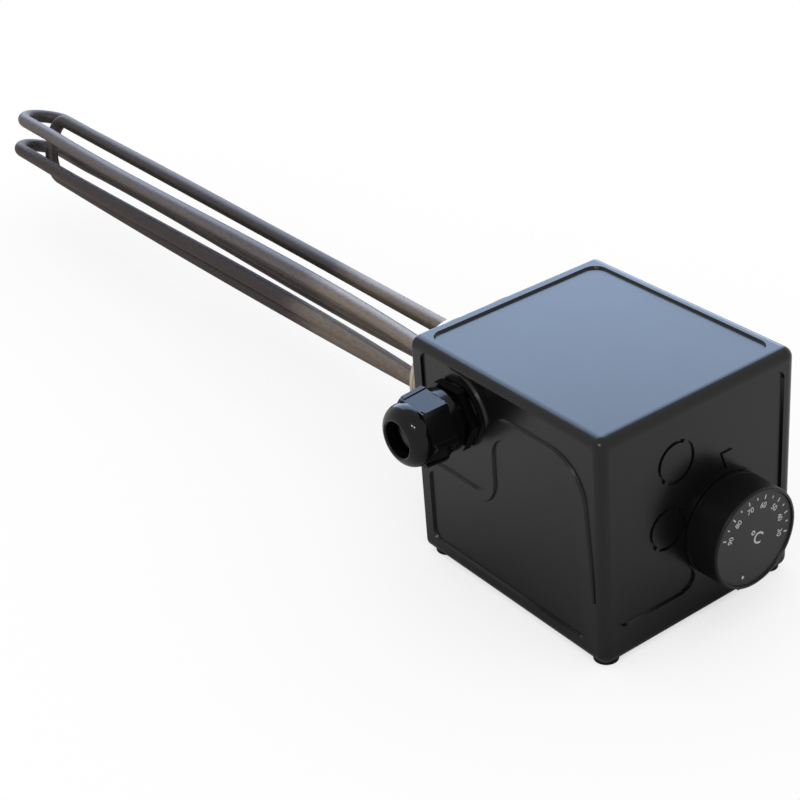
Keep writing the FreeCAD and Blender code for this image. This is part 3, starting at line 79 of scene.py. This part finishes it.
# How far each leg hangs off its straight line, in mm, at these distances from the sealing face. The
# photograph shows the hairpins splayed, so each pair of tubes looks wider than one tube.
SPLAY_STATIONS = (25, 75, 250, 430)
HAIRPINS = {
    "element_upper": (487.7 * MM, (16.3, (0, 0, 0.3, -0.6)), (136.3, (0, 2.0, 1.6, 0.8))),
    "element_lower": (487.7 * MM, (316.3, (0, -2.0, -3.2, -4.5)), (196.3, (0, 1.3, 0.4, -2.5))),
    "element_cross": (460.0 * MM, (76.3, (0, 0, -0.4, -1.2)), (256.3, (0, -1.4, -4.6, -5.3))),
}
SPLAY_ANGLE = 46.3
TUBE_STEPS = 90
BEND_STEPS = 40
ROUND_STEPS = 33
# Where the tubes' colour turns from bare to scaled. SCALE_LEAD is how much nearer the plug the lowest and the
# highest bar turn.
SCALE_FROM = 150 * MM
SCALE_TO = 190 * MM
SCALE_LEAD = (14 * MM, 40 * MM)
SCALE_WANDER = 30 * MM
BAR_SPREAD = 15 * MM
DIAL_TICK_RADIUS = 19.95 * MM
DIAL_TICK = (0.7 * MM, 2.1 * MM)
DIAL_LABEL_RADIUS = 15.9 * MM
DIAL_LABEL_SIZE = 3.9 * MM
DIAL_UNIT_SIZE = 8.1 * MM
DIAL_STROKE = 0.014
DIAL_UNIT_PLACE = (0.4 * MM, 0.2 * MM)
DIAL_UNIT_TURN = -27.0
DIAL_DOT = (158.0, 18.8 * MM, 0.8 * MM)
DIAL_ANGLES = {
    90: 69.3, 85: 54.6, 80: 40.1, 75: 25.4, 70: 11.0, 65: -3.7, 60: -17.8,
    55: -32.9, 50: -47.0, 45: -61.5, 40: -75.6, 35: -90.0, 30: -104.9,
}
PRINT_THICKNESS = 0.03 * MM
DIAL_DEPTH = 0.8 * MM
FLOOR_HALF = 6.0


def camera():
    """The camera stands where the photograph's perspective of the hood puts it."""
    azimuth = math.radians(VIEW_AZIMUTH)
    elevation = math.radians(VIEW_ELEVATION)
    roll = math.radians(VIEW_ROLL)
    level = math.cos(elevation)
    back = Vector((math.sin(azimuth) * level, -math.cos(azimuth) * level, math.sin(elevation)))
    right = Vector((0, 0, 1)).cross(back).normalized()
    up = back.cross(right)
    rolled_right = right * math.cos(roll) + up * math.sin(roll)
    rolled_up = up * math.cos(roll) - right * math.sin(roll)
    turn = Matrix((rolled_right, rolled_up, back)).transposed()
    data = bpy.data.cameras.new("camera")
    data.sensor_width = 36.0
    data.lens = VIEW_FOCAL_PIXELS / FRAME_PIXELS * data.sensor_width
    data.shift_x = (FRAME_PIXELS / 2 - VIEW_PRINCIPAL[0]) / FRAME_PIXELS
    data.shift_y = (VIEW_PRINCIPAL[1] - FRAME_PIXELS / 2) / FRAME_PIXELS
    data.clip_start = 0.01
    obj = bpy.data.objects.new("camera", data)
    obj.matrix_world = Matrix.Translation(VIEW_CENTRE - turn @ VIEW_OFFSET) @ turn.to_4x4()
    bpy.context.scene.collection.objects.link(obj)
    bpy.context.scene.camera = obj


def linear(hex_colour):
    """An sRGB hex colour as linear RGBA."""
    parts = [int(hex_colour[k:k + 2], 16) / 255 for k in (1, 3, 5)]
    return tuple(c / 12.92 if c <= 0.04045 else ((c + 0.055) / 1.055) ** 2.4 for c in parts) + (1.0,)


def node(tree, kind, settings):
    """Adds a node. A setting is a property, an input's value or, where it is a socket, a link to that input."""
    made = tree.nodes.new(kind)
    for name, value in settings.items():
        if isinstance(value, bpy.types.NodeSocket):
            tree.links.new(value, made.inputs[name])
        elif isinstance(name, int) or name in made.inputs:
            made.inputs[name].default_value = value
        else:
            setattr(made, name, value)
    return made


def material(name):
    """An empty node material and its node tree."""
    made = bpy.data.materials.new(name)
    made.use_nodes = True
    made.node_tree.nodes.clear()
    return made, made.node_tree


def ramp(tree, source, stops):
    """A colour ramp with (position, colour) stops."""
    made = node(tree, "ShaderNodeValToRGB", {"Fac": source})
    elements = made.color_ramp.elements
    while len(elements) < len(stops):
        elements.new(0.5)
    for element, (position, colour) in zip(elements, stops):
        element.position = position
        element.color = colour
    return made.outputs["Color"]


def finish(tree, colour, roughness, settings, bump=None):
    """Ends a material in a Principled shader."""
    shader = node(tree, "ShaderNodeBsdfPrincipled", settings)
    for name, value in (("Base Color", colour), ("Roughness", roughness), ("Normal", bump)):
        if value is None:
            continue
        if isinstance(value, (float, tuple)):
            shader.inputs[name].default_value = value
        else:
            tree.links.new(value, shader.inputs[name])
    node(tree, "ShaderNodeOutputMaterial", {"Surface": shader.outputs["BSDF"]})


def grain(tree, size, detail=2.0, stretch=(1, 1, 1)):
    """Noise in Object coordinates whose features are about size metres."""
    place = node(tree, "ShaderNodeTexCoord", {})
    scale = tuple(s / size for s in stretch)
    mapping = node(tree, "ShaderNodeMapping", {"Scale": scale, "Vector": place.outputs["Object"]})
    settings = {"Scale": 1.0, "Detail": detail, "Vector": mapping.outputs["Vector"]}
    noise = node(tree, "ShaderNodeTexNoise", settings)
    return noise.outputs["Fac"]


def moulded_black(name, dark, light, roughness, texture, gloss, front_gloss=None):
    """Moulded black thermoplastic: a fine eroded tool texture, faint dust and slightly uneven gloss.

    gloss below 0.5 stands for the texture's pits, which swallow part of the mirror reflection. front_gloss is
    its value on faces that look forward, such as a dial that is smoother than the knob's grip.
    """
    made, tree = material(name)
    speckle = grain(tree, 0.5 * MM, 3.0)
    colour = ramp(tree, speckle, [(0.35, linear(dark)), (0.75, linear(light))])
    smear = grain(tree, 18 * MM, 3.0)
    rough = node(tree, "ShaderNodeMapRange", {
        "To Min": roughness - 0.04, "To Max": roughness + 0.06, "Value": smear})
    height = grain(tree, 0.35 * MM, 2.0)
    bump = node(tree, "ShaderNodeBump", {"Strength": texture, "Distance": 0.02 * MM, "Height": height})
    settings = {"IOR": 1.5, "Specular IOR Level": gloss}
    if front_gloss is not None:
        place = node(tree, "ShaderNodeTexCoord", {})
        facing = node(tree, "ShaderNodeSeparateXYZ", {"Vector": place.outputs["Normal"]})
        front = {
            "From Min": -0.9, "From Max": -0.99, "To Min": gloss, "To Max": front_gloss,
            "Value": facing.outputs["Y"]}
        settings["Specular IOR Level"] = node(tree, "ShaderNodeMapRange", front).outputs["Result"]
    finish(tree, colour, rough.outputs["Result"], settings, bump.outputs["Normal"])
    return made


def heated_steel():
    """Drawn stainless tube: warm taupe by the plug, scaled dark grey where it has been hot, with painted light and
    shade that make the middle bar lighter and the lowest and highest bars darker.
    """
    made, tree = material("drawn_stainless_tube")
    place = node(tree, "ShaderNodeTexCoord", {})
    where = node(tree, "ShaderNodeSeparateXYZ", {"Vector": place.outputs["Object"]})
    wander = grain(tree, 30 * MM, 3.0)
    shifted = node(tree, "ShaderNodeMath", {
        "operation": "MULTIPLY_ADD", 0: wander, 1: SCALE_WANDER, 2: where.outputs["Y"]})
    # Each bar of tubes has scaled from a different place. A bar's place across the plug sets that place and also
    # its tone, which is painted light and shade: lighter on the middle bar, darker on the lowest and highest.
    lean = math.radians(SPLAY_ANGLE)
    across = node(tree, "ShaderNodeVectorMath", {
        "operation": "DOT_PRODUCT", 0: place.outputs["Object"], 1: (math.cos(lean), 0, math.sin(lean))})
    bar = node(tree, "ShaderNodeMapRange", {
        "From Min": -BAR_SPREAD, "From Max": BAR_SPREAD, "Value": across.outputs["Value"]}).outputs["Result"]
    # Painted light and shade per bar: each ramp's middle stop is lighter and its outer stops darker, on top of the
    # bare and the scaled colour.
    bare_tone_and_bar_shade = ramp(tree, bar, [(0.2, linear("#7e736b")), (0.5, linear("#8a8077")), (0.8, linear("#7b7068"))])
    scaled_tone_and_bar_shade = ramp(tree, bar, [(0.2, linear("#464141")), (0.5, linear("#706a6a")), (0.8, linear("#494545"))])
    lead = node(tree, "ShaderNodeMapRange", {"To Min": SCALE_LEAD[0], "To Max": SCALE_LEAD[1], "Value": bar})
    along = node(tree, "ShaderNodeMath", {
        "operation": "ADD", 0: shifted.outputs["Value"], 1: lead.outputs["Result"]})
    turned = node(tree, "ShaderNodeMapRange", {
        "interpolation_type": "SMOOTHSTEP", "From Min": SCALE_FROM, "From Max": SCALE_TO,
        "Value": along.outputs["Value"]})
    heat_tone_and_bar_shade = node(tree, "ShaderNodeMix", {
        "data_type": "RGBA", "Factor": turned.outputs["Result"], 6: bare_tone_and_bar_shade, 7: scaled_tone_and_bar_shade}).outputs[2]
    speck = grain(tree, 1.2 * MM, 4.0, (1, 0.35, 1))
    shade = ramp(tree, speck, [(0.3, linear("#d8d8d8")), (0.7, linear("#ffffff"))])
    settings = {"data_type": "RGBA", "blend_type": "MULTIPLY", "Factor": 1.0, 6: heat_tone_and_bar_shade, 7: shade}
    colour = node(tree, "ShaderNodeMix", settings)
    rough = node(tree, "ShaderNodeMapRange", {"To Min": 0.42, "To Max": 0.6, "Value": speck})
    bump = node(tree, "ShaderNodeBump", {"Strength": 0.12, "Distance": 0.05 * MM, "Height": speck})
    # The scale dulls the metal, and the warm tint keeps the sky's blue off its edges
    settings = {"Metallic": 0.8, "Specular Tint": linear("#eadfd6")}
    finish(tree, colour.outputs[2], rough.outputs["Result"], settings, bump.outputs["Normal"])
    return made


def plain_metal(name, colour, roughness):
    """Turned or plated metal with a faint grain."""
    made, tree = material(name)
    fine = grain(tree, 0.6 * MM, 3.0)
    rough = node(tree, "ShaderNodeMapRange", {
        "To Min": roughness - 0.06, "To Max": roughness + 0.08, "Value": fine})
    bump = node(tree, "ShaderNodeBump", {"Strength": 0.1, "Distance": 0.02 * MM, "Height": fine})
    finish(tree, linear(colour), rough.outputs["Result"], {"Metallic": 1.0}, bump.outputs["Normal"])
    return made


def plain_solid(name, dark, light, roughness):
    """Rubber, ceramic or natural plastic with a fine mottle."""
    made, tree = material(name)
    fine = grain(tree, 0.8 * MM, 3.0)
    colour = ramp(tree, fine, [(0.3, linear(dark)), (0.7, linear(light))])
    bump = node(tree, "ShaderNodeBump", {"Strength": 0.15, "Distance": 0.03 * MM, "Height": fine})
    finish(tree, colour, roughness, {}, bump.outputs["Normal"])
    return made


def printed_white():
    """Pad-printed white ink."""
    made, tree = material("pad_print_white")
    finish(tree, linear("#d8d8d4"), 0.6, {})
    return made


FINISHES = {
    "hood_plastic": moulded_black("moulded_hood_plastic", "#0f0e0e", "#171514", 0.24, 0.55, 0.28),
    "knob_plastic": moulded_black("moulded_knob_plastic", "#0c0c0e", "#131315", 0.4, 0.3, 0.17, 0.42),
    "gland_plastic": moulded_black("moulded_gland_plastic", "#08080a", "#0d0d0f", 0.15, 0.1, 0.2),
    "seal_rubber": plain_solid("gland_rubber", "#1d1d1e", "#262627", 0.55),
    "gasket_rubber": plain_solid("gasket_rubber", "#161616", "#1f1f1f", 0.7),
    "plug_steel": plain_metal("turned_stainless_plug", "#b5aa9c", 0.42),
    "element_steel": heated_steel(),
    "zinc_steel": plain_metal("zinc_plated_steel", "#b9bbbd", 0.35),
    "terminal_brass": plain_metal("bright_brass", "#c9a65a", 0.3),
    "copper_tube": plain_metal("drawn_copper", "#b87350", 0.35),
    "bead_ceramic": plain_solid("unglazed_ceramic", "#cfc9bb", "#dcd7ca", 0.75),
    "block_plastic": plain_solid("natural_polyamide", "#cfccc0", "#dad7cc", 0.45),
    "thermostat_plastic": plain_solid("thermoset_moulding", "#232322", "#2e2d2b", 0.5),
}


def dress_nodes():
    """Puts each slot's finish on the CAD nodes."""
    slots = {part["node"]: part["material_slot"] for part in frame["record"]["subparts"]}
    for name, obj in frame["nodes"].items():
        obj.data.materials.clear()
        obj.data.materials.append(FINISHES[slots[name]])


def mesh_piece(name, vertices, faces, finish_name, body):
    """A new piece from arrays, with smooth faces, riding on a body."""
    mesh = bpy.data.meshes.new(name)
    mesh.from_pydata(vertices.tolist(), [], faces.tolist())
    mesh.update()
    mesh.polygons.foreach_set("use_smooth", np.ones(len(mesh.polygons), bool))
    obj = bpy.data.objects.new(name, mesh)
    bpy.context.scene.collection.objects.link(obj)
    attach(obj, body)
    if finish_name in FINISHES:
        obj.data.materials.append(FINISHES[finish_name])
    return obj


def thread_ridge(root, pitch, depth, start, end):
    """A screw thread as a ridge on a root cylinder about +Y.

    The section is a 55 degree pipe thread with rounded crest and root. It is carried round the axis while it
    advances one pitch a turn, and it sinks into the root over the first and last half turn.
    """
    steps = 96
    turns = (end - start) / pitch - 1
    angle = np.linspace(0, 2 * math.pi * turns, int(steps * turns))[:, None]
    across = np.linspace(-0.5, 0.5, 9)[None, :]
    fade = np.clip(np.minimum(angle, angle[-1] - angle) / math.pi, 0, 1)
    height = depth * (0.5 + 0.5 * np.cos(2 * math.pi * across)) ** 0.8 * fade - 0.02 * MM * (1 - fade)
    radius = root + height
    along = start + pitch * (angle / (2 * math.pi) + 0.5 + across)
    points = np.stack([radius * np.cos(angle), along + 0 * radius, -radius * np.sin(angle)], axis=-1)
    return points.reshape(-1, 3), grid_faces(*radius.shape)


def grid_faces(rows, columns):
    """Quads of a rows by columns grid of points."""
    index = np.arange(rows * columns).reshape(rows, columns)
    return np.stack([index[:-1, :-1], index[:-1, 1:], index[1:, 1:], index[1:, :-1]], axis=-1).reshape(-1, 4)


def threaded_plug():
    """The plug turned down to the thread's root, with the ridge wound on it."""
    thread = next(m for m in frame["record"]["mounts"] if m["name"] == "tank_thread")
    crest = thread["dims"]["r_mm"] * MM
    source = frame["nodes"]["plug"]
    mesh = source.data.copy()
    count = len(mesh.vertices)
    points = np.empty(count * 3)
    mesh.vertices.foreach_get("co", points)
    points = points.reshape(-1, 3)
    radius = np.hypot(points[:, 0], points[:, 2])
    on_thread = (abs(radius - crest) < 0.1 * MM) & (points[:, 1] > -0.1 * MM)
    for axis in (0, 2):
        points[on_thread, axis] *= (crest - THREAD_DEPTH) / crest
    mesh.vertices.foreach_set("co", points.ravel())
    mesh.update()
    obj = bpy.data.objects.new("plug_blank", mesh)
    bpy.context.scene.collection.objects.link(obj)
    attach(obj, "heater")
    length = thread["dims"]["length_mm"] * MM
    root = crest - THREAD_DEPTH
    vertices, faces = thread_ridge(root, THREAD_PITCH, THREAD_DEPTH, 0.3 * MM, length + 0.8 * MM)
    ridge = mesh_piece("plug_thread", vertices, faces, "plug_steel", "heater")
    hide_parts("plug")
    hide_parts("plug")


def splayed_hairpin(name, reach, first, second):
    """A heating tube as a circle swept along two straight legs and the half ring that joins them.

    Each leg leaves its straight line by a cubic in the distance from the plug. Round the bend the two
    amounts blend smoothly into each other. The tube shrinks to a point at both ends to close it.
    """
    angles = np.radians([first[0], second[0]])
    feet = LEG_CIRCLE * np.stack([np.cos(angles), np.sin(angles)], axis=-1)
    middle = (feet[0] + feet[1]) / 2
    arm = feet[0] - middle
    radius = np.hypot(*arm)
    bend = reach - radius - TUBE_RADIUS
    run = np.linspace(TUBE_START, bend, TUBE_STEPS)
    turn = np.linspace(0, math.pi, BEND_STEPS)[1:-1]
    along = np.concatenate([run, bend + radius * np.sin(turn), run[::-1]])
    across = np.concatenate([np.ones(TUBE_STEPS), np.cos(turn), -np.ones(TUBE_STEPS)])
    blend = 0.5 - 0.5 * np.sin(across * math.pi / 2)
    station = np.clip(along / MM, SPLAY_STATIONS[0], SPLAY_STATIONS[-1])
    droop = [np.polyval(np.polyfit(SPLAY_STATIONS, leg[1], 3), station) * MM for leg in (first, second)]
    shift = droop[0] * (1 - blend) + droop[1] * blend
    lean = math.radians(SPLAY_ANGLE)
    centre = np.stack([
        middle[0] + across * arm[0] + shift * math.cos(lean),
        along,
        middle[1] + across * arm[1] + shift * math.sin(lean)], axis=-1)
    forward = np.gradient(centre, axis=0)
    forward /= np.linalg.norm(forward, axis=1)[:, None]
    side = np.cross(forward, np.array([arm[1], 0, -arm[0]]) / radius)
    side /= np.linalg.norm(side, axis=1)[:, None]
    up = np.cross(side, forward)
    around = np.linspace(0, 2 * math.pi, ROUND_STEPS)[None, :, None]
    ring = TUBE_RADIUS * (np.cos(around) * side[:, None] + np.sin(around) * up[:, None])
    ring = np.concatenate([0.001 * ring[:1], ring, 0.001 * ring[-1:]])
    centre = np.concatenate([centre[:1], centre, centre[-1:]])
    surface = centre[:, None] + ring
    faces = grid_faces(*surface.shape[:2])
    made = mesh_piece(name + "_tube", surface.reshape(-1, 3), faces, "element_steel", "heater")
    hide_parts(name)


def dial_print():
    """Tick marks, temperatures, the unit and the off dot, printed on the knob's dial."""
    hinge = next(j for j in frame["joints"] if j["child"] == "thermostat_knob")
    centre = Vector(hinge["pos_m"])
    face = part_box("knob")[0][1] + DIAL_DEPTH
    vertices = []
    faces = []

    def stamp(points, polygons, angle, radius):
        """Lays a flat shape, drawn upright about the origin, at an angle from the top towards the left."""
        turn = math.radians(angle)
        x = points[:, 0] * math.cos(turn) - (points[:, 1] + radius) * math.sin(turn)
        z = points[:, 0] * math.sin(turn) + (points[:, 1] + radius) * math.cos(turn)
        base = sum(len(v) for v in vertices)
        y = face - PRINT_THICKNESS + 0 * x
        vertices.append(np.stack([centre.x + x, y, centre.z + z], axis=-1))
        faces.extend([[base + i for i in polygon] for polygon in polygons])

    def lettering(text, size):
        """A word as flat polygons, centred on the origin."""
        curve = bpy.data.curves.new("lettering", "FONT")
        curve.body = text
        curve.size = size
        curve.offset = DIAL_STROKE * size
        curve.align_x = "CENTER"
        curve.align_y = "CENTER"
        holder = bpy.data.objects.new("lettering", curve)
        mesh = bpy.data.meshes.new_from_object(holder)
        points = np.array([v.co[:] for v in mesh.vertices])
        polygons = [list(p.vertices) for p in mesh.polygons]
        bpy.data.objects.remove(holder)
        bpy.data.curves.remove(curve)
        bpy.data.meshes.remove(mesh)
        return points, polygons

    wide, tall = DIAL_TICK[0] / 2, DIAL_TICK[1] / 2
    tick = np.array([(-wide, -tall), (wide, -tall), (wide, tall), (-wide, tall)])
    for value, angle in DIAL_ANGLES.items():
        length = 1.0 if value % 10 == 0 else 0.6
        stamp(tick * (1, length), [[0, 1, 2, 3]], angle, DIAL_TICK_RADIUS)
        if value % 10 == 0:
            stamp(*lettering(str(value), DIAL_LABEL_SIZE), angle, DIAL_LABEL_RADIUS)
    around = np.linspace(0, 2 * math.pi, 24, endpoint=False)
    angle, radius, size = DIAL_DOT
    stamp(size * np.stack([np.cos(around), np.sin(around)], axis=-1), [list(range(24))], angle, radius)
    points, polygons = lettering("\u00b0C", DIAL_UNIT_SIZE)
    stamp(points[:, :2] + DIAL_UNIT_PLACE, polygons, DIAL_UNIT_TURN, 0)
    mesh = bpy.data.meshes.new("dial_print")
    mesh.from_pydata(np.concatenate(vertices).tolist(), [], faces)
    obj = bpy.data.objects.new("dial_print", mesh)
    bpy.context.scene.collection.objects.link(obj)
    obj.data.materials.append(printed_white())
    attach(obj, "thermostat_knob")


def studio():
    """A white floor with a soft contact shadow painted into its glow from ambient occlusion, a white surround, a
    large light behind and two small ones.
    """
    low = cad_bounds[0][2]
    mesh = bpy.data.meshes.new("floor")
    half = FLOOR_HALF
    corners = [(-half, -half, low), (half, -half, low), (half, half, low), (-half, half, low)]
    mesh.from_pydata(corners, [], [(0, 1, 2, 3)])
    floor = bpy.data.objects.new("floor", mesh)
    bpy.context.scene.collection.objects.link(floor)
    made, tree = material("white_floor")
    diffuse = node(tree, "ShaderNodeBsdfDiffuse", {"Color": linear("#c9c6c2")})
    shade = node(tree, "ShaderNodeAmbientOcclusion", {"samples": 8, "Distance": 0.3})
    path = node(tree, "ShaderNodeLightPath", {})
    # Painted shadow: ambient occlusion darkens the floor's white glow, more deeply for gloss rays, so the hood's
    # sides reflect a darker floor near it.
    depth = node(tree, "ShaderNodeMath", {
        "operation": "MULTIPLY_ADD", 0: path.outputs["Is Glossy Ray"], 1: 1.8, 2: 0.2})
    painted_contact_shadow = node(tree, "ShaderNodeMath", {
        "operation": "POWER", 0: shade.outputs["AO"], 1: depth.outputs["Value"]})
    white = node(tree, "ShaderNodeEmission", {"Color": (1, 1, 1, 1), "Strength": painted_contact_shadow.outputs["Value"]})
    settings = {"Fac": seen_as_background(tree), 1: diffuse.outputs["BSDF"], 2: white.outputs["Emission"]}
    mix = node(tree, "ShaderNodeMixShader", settings)
    node(tree, "ShaderNodeOutputMaterial", {"Surface": mix.outputs["Shader"]})
    floor.data.materials.append(made)
    world = bpy.data.worlds.new("surround")
    world.use_nodes = True
    tree = world.node_tree
    tree.nodes.clear()
    soft = node(tree, "ShaderNodeBackground", {"Color": linear("#e6e9ee"), "Strength": 0.5})
    white = node(tree, "ShaderNodeBackground", {"Color": (1, 1, 1, 1), "Strength": 1.0})
    settings = {"Fac": seen_as_background(tree), 1: soft.outputs["Background"], 2: white.outputs["Background"]}
    mix = node(tree, "ShaderNodeMixShader", settings)
    node(tree, "ShaderNodeOutputWorld", {"Surface": mix.outputs["Shader"]})
    bpy.context.scene.world = world
    lamp("sky_panel", "SQUARE", (1.2, 1.75, 1.25), 2.6, 111.0, "#b4d4ff")
    lamp("left_window", "DISK", (-1.9, -0.9, 1.9), 0.10, 9.0, "#fff6ec")
    lamp("front_window", "DISK", (-1.6, -1.4, 1.8), 0.10, 9.0, "#fff6ec")


def seen_as_background(tree):
    """1 for the rays that see the surround as plain white: from the camera, off gloss or through glass."""
    path = node(tree, "ShaderNodeLightPath", {})
    either = node(tree, "ShaderNodeMath", {
        "operation": "MAXIMUM", 0: path.outputs["Is Camera Ray"], 1: path.outputs["Is Glossy Ray"]})
    settings = {"operation": "MAXIMUM", 0: either.outputs["Value"], 1: path.outputs["Is Transmission Ray"]}
    return node(tree, "ShaderNodeMath", settings).outputs["Value"]


def lamp(name, shape, place, size, power, colour):
    """A soft light aimed at the heater's hood."""
    data = bpy.data.lights.new(name, "AREA")
    data.shape = shape
    data.size = size
    data.energy = power
    data.color = linear(colour)[:3]
    obj = bpy.data.objects.new(name, data)
    aim = Vector(place) - VIEW_CENTRE
    obj.matrix_world = Matrix.Translation(place) @ aim.to_track_quat("Z", "Y").to_matrix().to_4x4()
    bpy.context.scene.collection.objects.link(obj)


camera()
dress_nodes()
threaded_plug()
for hairpin, shape in HAIRPINS.items():
    splayed_hairpin(hairpin, *shape)
dial_print()
studio()
bpy.context.scene.view_settings.view_transform = "Standard"
